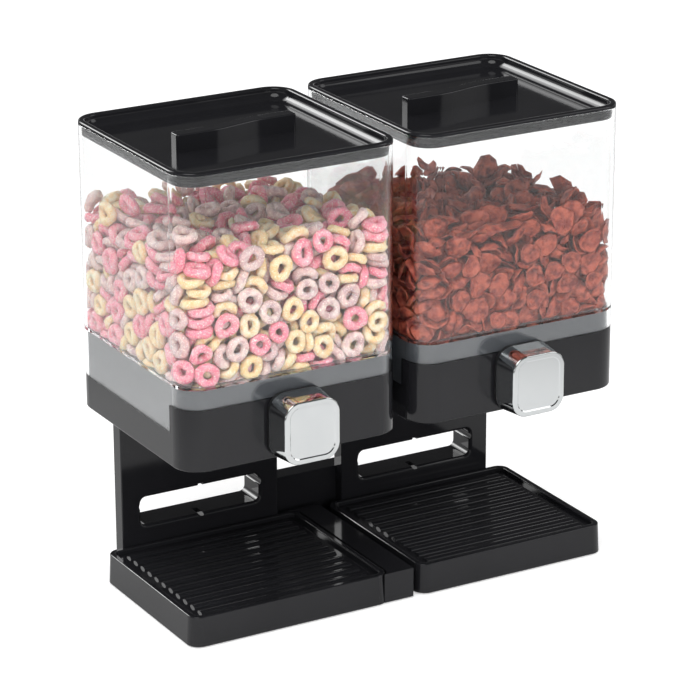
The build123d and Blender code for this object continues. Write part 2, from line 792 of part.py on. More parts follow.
def make_bridge():
    height = bridge_height - foot_stand
    tongue_width = spacer_width + 2 * seat_clearance
    tongue_room = strip_plan(spacer_mid_x, tongue_width, bridge_y, bridge_y + bridge_wall, foot_stand)
    with BuildPart() as bridge:
        extrude(bridge_plan(0, foot_stand), amount=height)
        extrude(bridge_plan(bridge_wall, foot_stand), amount=height - bridge_wall, mode=Mode.SUBTRACT)
        with BuildSketch(*bridge_screw_planes(core_side_x)):
            Circle(screw_boss_radius)
        extrude(amount=-screw_bite - bridge_wall)
        with BuildSketch(*spacer_screw_planes(foot_top_z)):
            Circle(screw_boss_radius)
        extrude(amount=foot_top_z - bridge_height + bridge_wall)
        with BuildSketch(*bridge_screw_planes(core_side_x)):
            Circle(screw_radius + screw_gap)
        extrude(amount=-screw_bite - screw_tip_room, mode=Mode.SUBTRACT)
        with BuildSketch(*spacer_screw_planes(foot_top_z)):
            Circle(screw_radius + screw_gap)
        extrude(amount=-screw_bite - screw_tip_room, mode=Mode.SUBTRACT)
        extrude(tongue_room, amount=foot_thickness + seat_clearance, mode=Mode.SUBTRACT)
    return bridge


# Spacer: filler deck beside the left tray, wrapped round that tray's corners, with a tongue under the bridge
def make_spacer():
    wrap_x = spacer_left_x - tray_corner
    front = tray_front_y + spacer_setback
    hollow_front = front + spacer_wall
    hollow_back = pillar_y - spacer_wall
    deck_plan = strip_plan((wrap_x + spacer_right_x) / 2, spacer_right_x - wrap_x, front, pillar_y, foot_stand)
    hollow = strip_plan(spacer_mid_x, spacer_width - 2 * spacer_wall, hollow_front, hollow_back, foot_stand)
    tongue_back = back_y - bridge_wall - seat_clearance
    tongue = strip_plan(spacer_mid_x, spacer_width, pillar_y - spacer_wall, tongue_back, foot_stand)
    with BuildPart() as spacer:
        extrude(deck_plan, amount=tray_height)
        extrude(
            tray_plan(unit_x["left"], -seat_clearance, foot_stand),
            amount=tray_height,
            mode=Mode.SUBTRACT,
        )
        extrude(hollow, amount=tray_height - spacer_wall, mode=Mode.SUBTRACT)
        extrude(tongue, amount=foot_thickness)
        with BuildSketch(*spacer_screw_planes(foot_stand)):
            Circle(screw_head_radius + fit_gap)
        extrude(amount=-screw_head_height, mode=Mode.SUBTRACT)
        with BuildSketch(*spacer_screw_planes(foot_stand)):
            Circle(screw_radius + screw_gap)
        extrude(amount=-foot_thickness, mode=Mode.SUBTRACT)
    return spacer


foot_screw_length = foot_thickness - screw_head_height + screw_bite
for side_name, cx in unit_x.items():
    save(make_tray(cx), f"{side_name}_tray")
    save(make_foot(cx), f"{side_name}_stand_foot")
    save(make_pads(cx), f"{side_name}_foot_pads")
    save(make_pillar_front(cx), f"{side_name}_pillar_front")
    save(make_pillar_core(cx), f"{side_name}_pillar_core")
    save(make_housing(cx), f"{side_name}_housing")
    save(make_drum(cx), f"{side_name}_dosing_drum")
    save(make_funnel(cx), f"{side_name}_funnel")
    save(make_bush(cx, front_y, journal_radius + running_gap, housing_wall), f"{side_name}_front_bush")
    save(make_bush(cx, drum_back_y, tail_radius + running_gap, drum_end_wall), f"{side_name}_rear_bush")
    save(make_shaft(cx), f"{side_name}_drive_shaft")
    save(make_wheel(cx), f"{side_name}_paddle_wheel")
    save(make_knob_core(cx), f"{side_name}_knob_core")
    save(make_knob_cap(cx), f"{side_name}_knob_cap")
    save(make_hopper(cx), f"{side_name}_hopper")
    save(make_lid(cx), f"{side_name}_lid")
    save(make_seal(cx), f"{side_name}_lid_seal")
    foot_screws = make_screws(foot_screw_planes(cx, foot_stand + screw_head_height), foot_screw_length)
    save(foot_screws, f"{side_name}_foot_screws")
    pillar_screws = make_screws(
        pillar_screw_planes(cx, back_y - screw_head_height),
        pillar_wall - screw_head_height + screw_bite,
    )
    save(pillar_screws, f"{side_name}_pillar_screws")
    housing_screws = make_screws(housing_screw_planes(cx, floor_z), housing_floor + screw_bite)
    save(housing_screws, f"{side_name}_housing_screws")
    knob_screw = make_screws(
        [front_plane(cx, shaft_tip_y - core_web, axle_z)],
        core_web + knob_screw_length - screw_tip_room,
    )
    save(knob_screw, f"{side_name}_knob_screw")

save(make_bridge(), "bridge")
save(make_spacer(), "tray_spacer")
save(make_screws(bridge_screw_planes(core_side_x + pillar_wall), pillar_wall + screw_bite), "bridge_screws")
save(make_screws(spacer_screw_planes(foot_stand + screw_head_height), foot_screw_length), "spacer_screws")
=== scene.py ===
# Twin food dispenser: two clear hoppers of dry food over black housings, a knob and a ribbed tray under each
import math

import bpy
import numpy as np
from mathutils import Euler, Matrix, Vector


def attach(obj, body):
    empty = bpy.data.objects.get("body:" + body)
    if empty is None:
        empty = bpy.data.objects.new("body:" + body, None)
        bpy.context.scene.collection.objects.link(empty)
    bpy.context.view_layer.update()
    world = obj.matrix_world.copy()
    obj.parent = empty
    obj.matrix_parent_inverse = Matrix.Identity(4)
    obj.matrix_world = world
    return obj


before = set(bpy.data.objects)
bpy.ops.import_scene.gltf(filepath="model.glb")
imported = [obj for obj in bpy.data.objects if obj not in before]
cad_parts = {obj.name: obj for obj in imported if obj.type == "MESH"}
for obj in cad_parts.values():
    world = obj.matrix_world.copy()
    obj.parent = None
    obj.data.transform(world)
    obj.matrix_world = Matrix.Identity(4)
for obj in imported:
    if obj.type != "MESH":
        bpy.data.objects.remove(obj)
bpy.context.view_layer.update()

unitMiddle = {"left": (-87.0, 11.25), "right": (87.0, 11.25)}  # middle of each hopper, mm
print("frame loaded:", len(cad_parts), "nodes")


# screen colour to the linear colour that shaders use: the sRGB curve, undone per channel
def linear(hexColour):
    parts = [int(hexColour[i:i + 2], 16) / 255 for i in (1, 3, 5)]
    return tuple(c / 12.92 if c <= 0.04045 else ((c + 0.055) / 1.055) ** 2.4 for c in parts) + (1.0,)


# pattern scale that repeats about once in sizeMm on Object coordinates
def perMetre(sizeMm):
    return 1000.0 / sizeMm


# adds a node, sets its own fields and sockets, and joins what feeds it
def addNode(tree, kind, settings=None, links=None):
    made = tree.nodes.new(kind)
    for name, value in (settings or {}).items():
        if isinstance(name, int) or name in made.inputs:
            made.inputs[name].default_value = value
        else:
            setattr(made, name, value)
    for name, source in (links or {}).items():
        tree.links.new(source, made.inputs[name])
    return made


# an empty material and its node tree
def newMaterial(name):
    material = bpy.data.materials.new(name)
    material.use_nodes = True
    material.node_tree.nodes.clear()
    return material, material.node_tree


# joins the last shader to the surface
def finishMaterial(tree, shader):
    addNode(tree, "ShaderNodeOutputMaterial", links={"Surface": shader.outputs[0]})


# moulded plastic: mottled base colour, patchy gloss from handling, fine grain and a slow ripple as bumps
def mouldedPlastic(name, look):
    material, tree = newMaterial(name)
    place = addNode(tree, "ShaderNodeTexCoord").outputs["Object"]
    clouds = addNode(tree, "ShaderNodeTexNoise",
                     {"Scale": perMetre(look["cloudMm"]), "Detail": 3.0}, {"Vector": place})
    grain = addNode(tree, "ShaderNodeTexNoise",
                    {"Scale": perMetre(look["grainMm"]), "Detail": 2.0}, {"Vector": place})
    colour = addNode(tree, "ShaderNodeMix",
                     {"data_type": "RGBA", 6: linear(look["colour"]), 7: linear(look["tint"])},
                     {0: clouds.outputs["Fac"]})
    gloss = addNode(tree, "ShaderNodeMapRange", {3: look["gloss"][0], 4: look["gloss"][1]},
                    {"Value": clouds.outputs["Fac"]})
    ripple = addNode(tree, "ShaderNodeBump",
                     {"Strength": look["rippleStrength"], "Distance": look["rippleMm"] / 1000},
                     {"Height": clouds.outputs["Fac"]})
    texture = addNode(tree, "ShaderNodeBump",
                      {"Strength": look["grainStrength"], "Distance": look["grainDeepMm"] / 1000},
                      {"Height": grain.outputs["Fac"], "Normal": ripple.outputs["Normal"]})
    shader = addNode(tree, "ShaderNodeBsdfPrincipled", {"IOR": look["ior"]},
                     {"Base Color": colour.outputs[2], "Roughness": gloss.outputs[0],
                      "Normal": texture.outputs["Normal"]})
    finishMaterial(tree, shader)
    return material


# gloss ABS from a polished mould: black with a cool grey body, clear but slightly wavy reflections
glossBlack = mouldedPlastic("gloss_black_abs", {
    "colour": "#19191b", "tint": "#202023", "gloss": (0.05, 0.13), "ior": 1.4,
    "cloudMm": 34.0, "rippleMm": 0.03, "rippleStrength": 0.05,
    "grainMm": 1.6, "grainDeepMm": 0.002, "grainStrength": 0.04,
})
# black polypropylene, plain moulded: duller, a little greyer where it is thick
mattBlack = mouldedPlastic("matt_black_pp", {
    "colour": "#121213", "tint": "#1a1a1c", "gloss": (0.4, 0.52), "ior": 1.49,
    "cloudMm": 22.0, "rippleMm": 0.08, "rippleStrength": 0.2,
    "grainMm": 0.9, "grainDeepMm": 0.03, "grainStrength": 0.35,
})
# smoke grey ABS insert: its skirt shows as a grey band through the clear wall
smokeGrey = mouldedPlastic("smoke_grey_abs", {
    "colour": "#47494d", "tint": "#505256", "gloss": (0.14, 0.22), "ior": 1.5,
    "cloudMm": 40.0, "rippleMm": 0.04, "rippleStrength": 0.08,
    "grainMm": 1.2, "grainDeepMm": 0.004, "grainStrength": 0.06,
})
# moulded thermoplastic rubber feet: dark grey, dusty and dull
rubberGrey = mouldedPlastic("grey_tpe_rubber", {
    "colour": "#3b3c3e", "tint": "#4a4b4c", "gloss": (0.75, 0.9), "ior": 1.5,
    "cloudMm": 6.0, "rippleMm": 0.1, "rippleStrength": 0.3,
    "grainMm": 0.7, "grainDeepMm": 0.05, "grainStrength": 0.5,
})
# food-grade silicone, milky white: soft sheen, picks up crumbs and prints
milkSilicone = mouldedPlastic("milky_silicone", {
    "colour": "#d3d5d4", "tint": "#e2e3e1", "gloss": (0.42, 0.6), "ior": 1.41,
    "cloudMm": 9.0, "rippleMm": 0.08, "rippleStrength": 0.25,
    "grainMm": 0.8, "grainDeepMm": 0.02, "grainStrength": 0.25,
})
# black silicone ring: satin, a shade greyer than the lid that it sits in
blackSilicone = mouldedPlastic("black_silicone", {
    "colour": "#1d1d1e", "tint": "#262627", "gloss": (0.38, 0.5), "ior": 1.41,
    "cloudMm": 9.0, "rippleMm": 0.05, "rippleStrength": 0.2,
    "grainMm": 0.8, "grainDeepMm": 0.01, "grainStrength": 0.2,
})
# machined acetal bushes: waxy off-white
waxyAcetal = mouldedPlastic("white_acetal", {
    "colour": "#e3e2dc", "tint": "#eeede8", "gloss": (0.3, 0.4), "ior": 1.48,
    "cloudMm": 8.0, "rippleMm": 0.04, "rippleStrength": 0.15,
    "grainMm": 0.7, "grainDeepMm": 0.01, "grainStrength": 0.2,
})


# bright metal: even colour with faint cloudy haze, hairlines drawn along one way as gloss and bump
def platedMetal(name, look):
    material, tree = newMaterial(name)
    place = addNode(tree, "ShaderNodeTexCoord").outputs["Object"]
    haze = addNode(tree, "ShaderNodeTexNoise",
                   {"Scale": perMetre(look["hazeMm"]), "Detail": 2.0}, {"Vector": place})
    lay = addNode(tree, "ShaderNodeMapping", {"Scale": look["hairlineStretch"]}, {"Vector": place})
    hair = addNode(tree, "ShaderNodeTexNoise",
                   {"Scale": perMetre(look["hairlineMm"]), "Detail": 3.0}, {"Vector": lay.outputs[0]})
    colour = addNode(tree, "ShaderNodeMix",
                     {"data_type": "RGBA", 6: linear(look["colour"]), 7: linear(look["tint"])},
                     {0: haze.outputs["Fac"]})
    mixed = addNode(tree, "ShaderNodeMath", {"operation": "MULTIPLY"},
                    {0: haze.outputs["Fac"], 1: hair.outputs["Fac"]})
    gloss = addNode(tree, "ShaderNodeMapRange",
                    {2: look["hazeFull"], 3: look["gloss"][0], 4: look["gloss"][1]},
                    {"Value": mixed.outputs[0]})
    bump = addNode(tree, "ShaderNodeBump",
                   {"Strength": look["hairlineStrength"], "Distance": look["hairlineDeepMm"] / 1000},
                   {"Height": hair.outputs["Fac"]})
    shader = addNode(tree, "ShaderNodeBsdfPrincipled", {"Metallic": 1.0},
                     {"Base Color": colour.outputs[2], "Roughness": gloss.outputs[0],
                      "Normal": bump.outputs["Normal"]})
    finishMaterial(tree, shader)
    return material


# satin chrome over ABS: pale, slightly blue, mirrors the food above it softly
chromePlate = platedMetal("chrome_plated_abs", {
    "colour": "#d0d3d4", "tint": "#d9dbdb", "gloss": (0.05, 0.11), "hazeMm": 14.0, "hazeFull": 0.6,
    "hairlineMm": 0.9, "hairlineStretch": (1.0, 1.0, 0.12), "hairlineDeepMm": 0.002, "hairlineStrength": 0.06,
})
# zinc-plated screws and a drawn steel shaft: greyer, with a visible drawn lay
zincSteel = platedMetal("zinc_plated_steel", {
    "colour": "#a9abad", "tint": "#c3c5c6", "gloss": (0.22, 0.38), "hazeMm": 5.0, "hazeFull": 0.6,
    "hairlineMm": 0.6, "hairlineStretch": (1.0, 0.1, 1.0), "hairlineDeepMm": 0.01, "hairlineStrength": 0.25,
})


# clear moulded wall: full transmission, a breath of haze in the gloss and a slow moulding ripple;
# lamps shine straight through it, so what stands behind it is lit as through a real clear wall
def clearWall(name, look):
    material, tree = newMaterial(name)
    place = addNode(tree, "ShaderNodeTexCoord").outputs["Object"]
    haze = addNode(tree, "ShaderNodeTexNoise",
                   {"Scale": perMetre(look["hazeMm"]), "Detail": 2.0}, {"Vector": place})
    gloss = addNode(tree, "ShaderNodeMapRange",
                    {1: look["hazeFrom"], 2: look["hazeFull"], 3: look["gloss"][0], 4: look["gloss"][1]},
                    {"Value": haze.outputs["Fac"]})
    ripple = addNode(tree, "ShaderNodeBump",
                     {"Strength": look["rippleStrength"], "Distance": look["rippleMm"] / 1000},
                     {"Height": haze.outputs["Fac"]})
    shader = addNode(tree, "ShaderNodeBsdfPrincipled",
                     {"Base Color": linear(look["colour"]), "Transmission Weight": 1.0, "IOR": look["ior"]},
                     {"Roughness": gloss.outputs[0], "Normal": ripple.outputs["Normal"]})
    straight = addNode(tree, "ShaderNodeBsdfTransparent", {"Color": linear(look["colour"])})
    light = addNode(tree, "ShaderNodeLightPath")
    wall = addNode(tree, "ShaderNodeMixShader",
                   links={0: light.outputs["Is Shadow Ray"], 1: shader.outputs[0], 2: straight.outputs[0]})
    finishMaterial(tree, wall)
    return material


# clear styrene-acrylonitrile: colourless, sharp, a bright line where the light runs round a corner
clearPlastic = clearWall("clear_san", {
    "colour": "#fafbfb", "gloss": (0.0, 0.03), "ior": 1.5,
    "hazeMm": 60.0, "hazeFrom": 0.35, "hazeFull": 0.75, "rippleMm": 0.04, "rippleStrength": 0.08,
})

# which finish each node takes, the same on both units
finishes = {
    "tray": glossBlack, "pillar_front": glossBlack, "housing": glossBlack, "lid": glossBlack,
    "bridge": glossBlack, "tray_spacer": glossBlack,
    "stand_foot": mattBlack, "pillar_core": mattBlack, "dosing_drum": mattBlack, "knob_core": mattBlack,
    "funnel": smokeGrey, "foot_pads": rubberGrey, "hopper": clearPlastic, "knob_cap": chromePlate,
    "paddle_wheel": milkSilicone, "lid_seal": blackSilicone,
    "front_bush": waxyAcetal, "rear_bush": waxyAcetal,
    "drive_shaft": zincSteel, "foot_screws": zincSteel, "pillar_screws": zincSteel,
    "housing_screws": zincSteel, "knob_screw": zincSteel, "bridge_screws": zincSteel,
    "spacer_screws": zincSteel,
}
for nodeName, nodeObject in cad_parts.items():
    plain = nodeName.removeprefix("left_").removeprefix("right_")
    nodeObject.data.materials.clear()
    nodeObject.data.materials.append(finishes[plain])
print("finishes set")

# room inside a hopper, mm from the unit's middle and from the table: a square with round corners, the ledge
# at its foot, the funnel's four slopes, the paddle wheel's sweep, and the gap that food keeps from a wall
hopperRoom = {
    "halfWidth": 78.8, "corner": 15.8, "ledgeTop": 184.3, "ledgeHalf": 75.4, "rimZ": 181.0, "rimHalf": 76.2,
    "throatZ": 161.2, "throatHalf": (19.3, 31.0), "wheelZ": 149.7, "wheelReach": 21.2, "gap": 0.3,
}

# how food settles, in mm and in mm a step: pieces start in layers above the ledge, then fall, slow down and
# come to rest, each phase from its share of the steps, and keep that much of their speed from step to step;
# neighbours are searched again every few steps, and balls that overlap are pushed apart in a few sweeps,
# a little further than they overlap, but less when many push at once
settling = {
    "startAbove": 8.0, "startJitter": 1.5, "topSpeed": 1.8, "slowFrom": 0.6, "restFrom": 0.85,
    "keepFalling": 0.98, "keepSlowing": 0.85, "keepResting": 0.3,
    "searchEvery": 2, "searchMargin": 1.5, "sweeps": 2, "pushFactor": 1.5, "crowdPower": 0.4,
}
tiny = 1e-9  # keeps a division by a length of nothing in order


# angles evenly round a circle
def evenAngles(count):
    return np.arange(count) * 2 * np.pi / count


# balls evenly round a flat circle: radius times cosine and sine of each angle, height 0
def ballCircle(count, radius):
    angle = evenAngles(count)
    return radius * np.stack([np.cos(angle), np.sin(angle), 0 * angle], axis=-1)


# even random turnings: quaternions drawn from a normal spread, made unit length, written out as matrices
def randomTurns(count, rng):
    q = rng.normal(size=(count, 4))
    w, x, y, z = (q / np.linalg.norm(q, axis=1, keepdims=True)).T
    return np.stack([
        1 - 2 * (y * y + z * z), 2 * (x * y - z * w), 2 * (x * z + y * w),
        2 * (x * y + z * w), 1 - 2 * (x * x + z * z), 2 * (y * z - x * w),
        2 * (x * z - y * w), 2 * (y * z + x * w), 1 - 2 * (x * x + y * y),
    ], axis=1).reshape(count, 3, 3)


# height of the floor under a point: the higher of the funnel's slope and the round wheel, and the ledge at
# the walls
def floorUnder(x, y, room):
    halfX, halfY = room["throatHalf"]
    across = (np.abs(x) - halfX) / (room["rimHalf"] - halfX)
    along = (np.abs(y) - halfY) / (room["rimHalf"] - halfY)
    share = np.clip(np.maximum(across, along), 0, 1)
    slope = room["throatZ"] + share * (room["rimZ"] - room["throatZ"])
    wheel = room["wheelZ"] + np.sqrt(np.maximum(room["wheelReach"] ** 2 - x * x, 0))
    onLedge = np.maximum(np.abs(x), np.abs(y)) > room["ledgeHalf"]
    return np.where(onLedge, room["ledgeTop"], np.maximum(slope, wheel))


# pairs of points nearer than reach, of different owners: points sorted by grid cell, each cell met with itself
# and 13 neighbours
def nearPairs(points, reach, owner):
    cell = np.floor(points / reach).astype(np.int64)
    cell -= cell.min(axis=0) - 1
    span = cell.max(axis=0) + 2
    key = (cell[:, 0] * span[1] + cell[:, 1]) * span[2] + cell[:, 2]
    order = np.argsort(key, kind="stable")
    sortedKey = key[order]
    index = np.arange(len(points))
    firsts, seconds = [], []
    near = (-1, 0, 1)
    shifts = [(a, b, c) for a in near for b in near for c in near if (a, b, c) >= (0, 0, 0)]
    for a, b, c in shifts:
        shifted = sortedKey + (a * span[1] + b) * span[2] + c
        low = index + 1 if (a, b, c) == (0, 0, 0) else np.searchsorted(sortedKey, shifted, "left")
        many = np.maximum(np.searchsorted(sortedKey, shifted, "right") - low, 0)
        offset = np.arange(many.sum()) - np.repeat(np.cumsum(many) - many, many)
        firsts.append(order[np.repeat(index, many)])
        seconds.append(order[np.repeat(low, many) + offset])
    first, second = np.concatenate(firsts), np.concatenate(seconds)
    apart = owner[first] != owner[second]
    first, second = first[apart], second[apart]
    close = ((points[first] - points[second]) ** 2).sum(axis=1) < reach * reach
    return first[close], second[close]


# drops rigid pieces, each a few balls, into the room: balls that overlap push each other apart, the walls
# push back, and each piece takes the turning that fits its balls best; returns centres and turnings
def settle(balls, ballRadius, room, look, rng):
    count, each = balls.shape[:2]
    shape = balls - balls.mean(axis=1, keepdims=True)
    radius = np.repeat(ballRadius, each)
    owner = np.repeat(np.arange(count), each)
    perSide = int(2 * (room["halfWidth"] - look["pitch"] / 2) // look["pitch"]) + 1
    layer, rest = np.divmod(np.arange(count), perSide ** 2)
    row, column = np.divmod(rest, perSide)
    start = np.stack([column - (perSide - 1) / 2, row - (perSide - 1) / 2, layer * look["rise"]], axis=1)
    start = start * (look["pitch"], look["pitch"], 1.0) + (0, 0, room["ledgeTop"] + settling["startAbove"])
    start = start + rng.uniform(-settling["startJitter"], settling["startJitter"], start.shape)
    turn = randomTurns(count, rng)
    place = start[:, None, :] + np.einsum("nij,nkj->nki", turn, shape)
    speed = np.zeros_like(place)
    flat = room["halfWidth"] - room["corner"]
    steps = look["steps"]
    slowStep, restStep = settling["slowFrom"] * steps, int(settling["restFrom"] * steps)
    for step in range(steps):
        speed[..., 2] -= look["pull"] if step < restStep else 0
        phase = "keepFalling" if step < slowStep else ("keepSlowing" if step < restStep else "keepResting")
        speed *= settling[phase]
        fast = np.linalg.norm(speed, axis=-1, keepdims=True)
        speed *= np.minimum(1, settling["topSpeed"] / np.maximum(fast, tiny))
        points = (place + speed).reshape(-1, 3)
        if step % settling["searchEvery"] == 0:
            first, second = nearPairs(points, 2 * radius.max() + settling["searchMargin"], owner)
        for sweep in range(settling["sweeps"]):
            # each ball of a pair goes half of the overlap
            gap = points[first] - points[second]
            far = np.sqrt((gap ** 2).sum(axis=1)) + tiny
            deep = np.maximum(radius[first] + radius[second] - far, 0)
            push = gap * (0.5 * deep / far)[:, None]
            hit = (deep > 0).astype(float)
            many = np.bincount(first, hit, len(points)) + np.bincount(second, hit, len(points))
            crowd = np.maximum(many, 1) ** settling["crowdPower"]
            for axis in range(3):
                away = np.bincount(first, push[:, axis], len(points))
                back = np.bincount(second, push[:, axis], len(points))
                points[:, axis] += settling["pushFactor"] * (away - back) / crowd
            # walls with round corners, then the floor
            inner = np.clip(points[:, :2], -flat, flat)
            out = points[:, :2] - inner
            far = np.sqrt((out ** 2).sum(axis=1)) + tiny
            points[:, :2] = inner + out * np.minimum(1, (room["corner"] - radius) / far)[:, None]
            points[:, 2] = np.maximum(points[:, 2], floorUnder(points[:, 0], points[:, 1], room) + radius)
            # back to rigid pieces
            body = points.reshape(count, each, 3)
            centre = body.mean(axis=1, keepdims=True)
            u, _, w = np.linalg.svd(np.einsum("nki,nkj->nij", body - centre, shape))
            u[:, :, 2] *= np.sign(np.linalg.det(u @ w))[:, None]
            turn = u @ w
            points = (centre + np.einsum("nij,nkj->nki", turn, shape)).reshape(-1, 3)
        speed = points.reshape(count, each, 3) - place
        place = points.reshape(count, each, 3)
    return centre[:, 0], turn


# which pieces lie under the heap's top: a crown that falls with the square of the way out, plus a tilt
def underHeap(centre, heap):
    u, v = centre[:, 0] / heap["half"], centre[:, 1] / heap["half"]
    top = heap["crown"] - heap["fall"] * (u * u + v * v) - heap["tilt"][0] * u - heap["tilt"][1] * v
    return centre[:, 2] < top


# faces of many equal grids of rows by columns: columns always close, rows close too where ringRows is set,
# and otherwise each grid has a pole before its first row and one after its last
def gridFaces(count, rows, columns, ringRows):
    row = np.arange(rows if ringRows else rows - 1)[:, None]
    column = np.arange(columns)[None, :]
    nextRow, nextColumn = (row + 1) % rows, (column + 1) % columns
    quads = np.stack(np.broadcast_arrays(
        row * columns + column, nextRow * columns + column,
        nextRow * columns + nextColumn, row * columns + nextColumn), axis=-1).reshape(-1, 4)
    points = rows * columns + (0 if ringRows else 2)
    pieces = np.arange(count)[:, None, None] * points
    quads = (pieces + quads[None]).reshape(-1, 4)
    if ringRows:
        return quads, np.zeros((0, 3), int)
    last = (rows - 1) * columns
    column, nextColumn = column[0], nextColumn[0]
    first = np.stack([np.full(columns, rows * columns), column, nextColumn], axis=-1)
    final = np.stack([np.full(columns, rows * columns + 1), last + nextColumn, last + column], axis=-1)
    tris = (pieces + np.concatenate([first, final])[None]).reshape(-1, 3)
    return quads, tris


# ring-shaped pieces: a round tube carried along a circle, its radius, size and lie wavering with the angle,
# (R(t) + r(t) cos s) out from the middle and h(t) sin s up, plus a slow bend up and down
def loopShapes(count, look, rng):
    t = evenAngles(look["along"])[None, :, None]
    s = evenAngles(look["round"])[None, None, :]
    size = rng.uniform(*look["sizes"], (count, 1, 1))
    phase = rng.uniform(0, 2 * np.pi, (4, count, 1, 1))
    ring = look["ringRadius"] * (1 + look["oval"] * np.cos(2 * t + phase[0]))
    tube = look["tubeRadius"] * (
        1 + look["lumps"] * np.cos(3 * t + phase[1]) + look["lumps"] * np.cos(5 * t + phase[2]))
    out = ring + tube * np.cos(s)
    up = tube * look["tallness"] * np.sin(s) + look["bend"] * np.cos(2 * t + phase[3])
    points = np.stack([out * np.cos(t), out * np.sin(t), up + 0 * out], axis=-1) * size[..., None]
    return points.reshape(count, -1, 3), size[:, 0, 0]


# cupped flakes: a closed skin run from the top's middle out to a lobed rim and back under it, its height
# a bowl with a flared rim, a boss in the middle and a groove round the boss, twisted like a saddle and curled
# up and down five times round the rim
def flakeShapes(count, look, rng):
    out = np.array(look["rows"])[None, :, None]
    side = np.array(look["rowSides"])[None, :, None]
    t = evenAngles(look["round"])[None, None, :]
    size = rng.uniform(*look["sizes"], (count, 1, 1))
    phase = rng.uniform(0, 2 * np.pi, (4, count, 1, 1))
    depth = rng.uniform(*look["cupDepth"], (count, 1, 1))
    twist = rng.uniform(-look["twist"], look["twist"], (count, 1, 1))
    rim = look["radius"] * rng.uniform(*look["spread"], (count, 1, 1))
    rim = rim * (1 + look["oval"] * np.cos(2 * t + phase[0]) + look["lobes"] * np.cos(3 * t + phase[1]))
    bowl = depth * (out ** 2 - look["flare"] * out ** 6) - look["groove"] * np.sin(np.pi * out) ** 2
    curl = look["curl"] * out ** 3 * np.cos(5 * t + phase[3])
    height = bowl + twist * out ** 2 * np.cos(2 * t + phase[2]) + curl + side * look["thickness"]
    points = np.stack([rim * out * np.cos(t), rim * out * np.sin(t), height + 0 * rim], axis=-1)
    boss = look["boss"] + look["thickness"] / 2
    poles = np.zeros((count, 2, 3)) + np.array([[0, 0, boss], [0, 0, boss - look["thickness"]]])
    points = np.concatenate([points.reshape(count, -1, 3), poles], axis=1)
    return (points - (0, 0, look["sink"] * look["cupDepth"][1])) * size, size[:, 0, 0]


# presses what reaches past the room's walls or floor back to a hair inside them
def pressIn(placed, room):
    flat = room["halfWidth"] - room["corner"]
    inner = np.clip(placed[..., :2], -flat, flat)
    out = placed[..., :2] - inner
    far = np.linalg.norm(out, axis=-1, keepdims=True) + tiny
    level = inner + out * np.minimum(1, (room["corner"] - room["gap"]) / far)
    height = np.maximum(placed[..., 2], floorUnder(level[..., 0], level[..., 1], room) + room["gap"])
    return np.concatenate([level, height[..., None]], axis=-1)


# sets the pieces' points into one mesh, in metres, with each piece's own tone kept as an attribute
def addFood(name, side, points, centre, turn, faces, material, rng):
    placed = centre[:, None, :] + np.einsum("nij,nkj->nki", turn, points)
    placed = pressIn(placed, hopperRoom) + (*unitMiddle[side], 0.0)
    quads, tris = faces
    mesh = bpy.data.meshes.new(name)
    mesh.from_pydata(placed.reshape(-1, 3) / 1000, [], quads.tolist() + tris.tolist())
    tone = mesh.attributes.new("pieceTone", "FLOAT", "POINT")
    tone.data.foreach_set("value", np.repeat(rng.uniform(0, 1, len(points)), points.shape[1]))
    mesh.polygons.foreach_set("use_smooth", [True] * len(mesh.polygons))
    mesh.materials.append(material)
    piece = bpy.data.objects.new(name, mesh)
    bpy.context.scene.collection.objects.link(piece)
    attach(piece, side + "_hopper")
    return piece


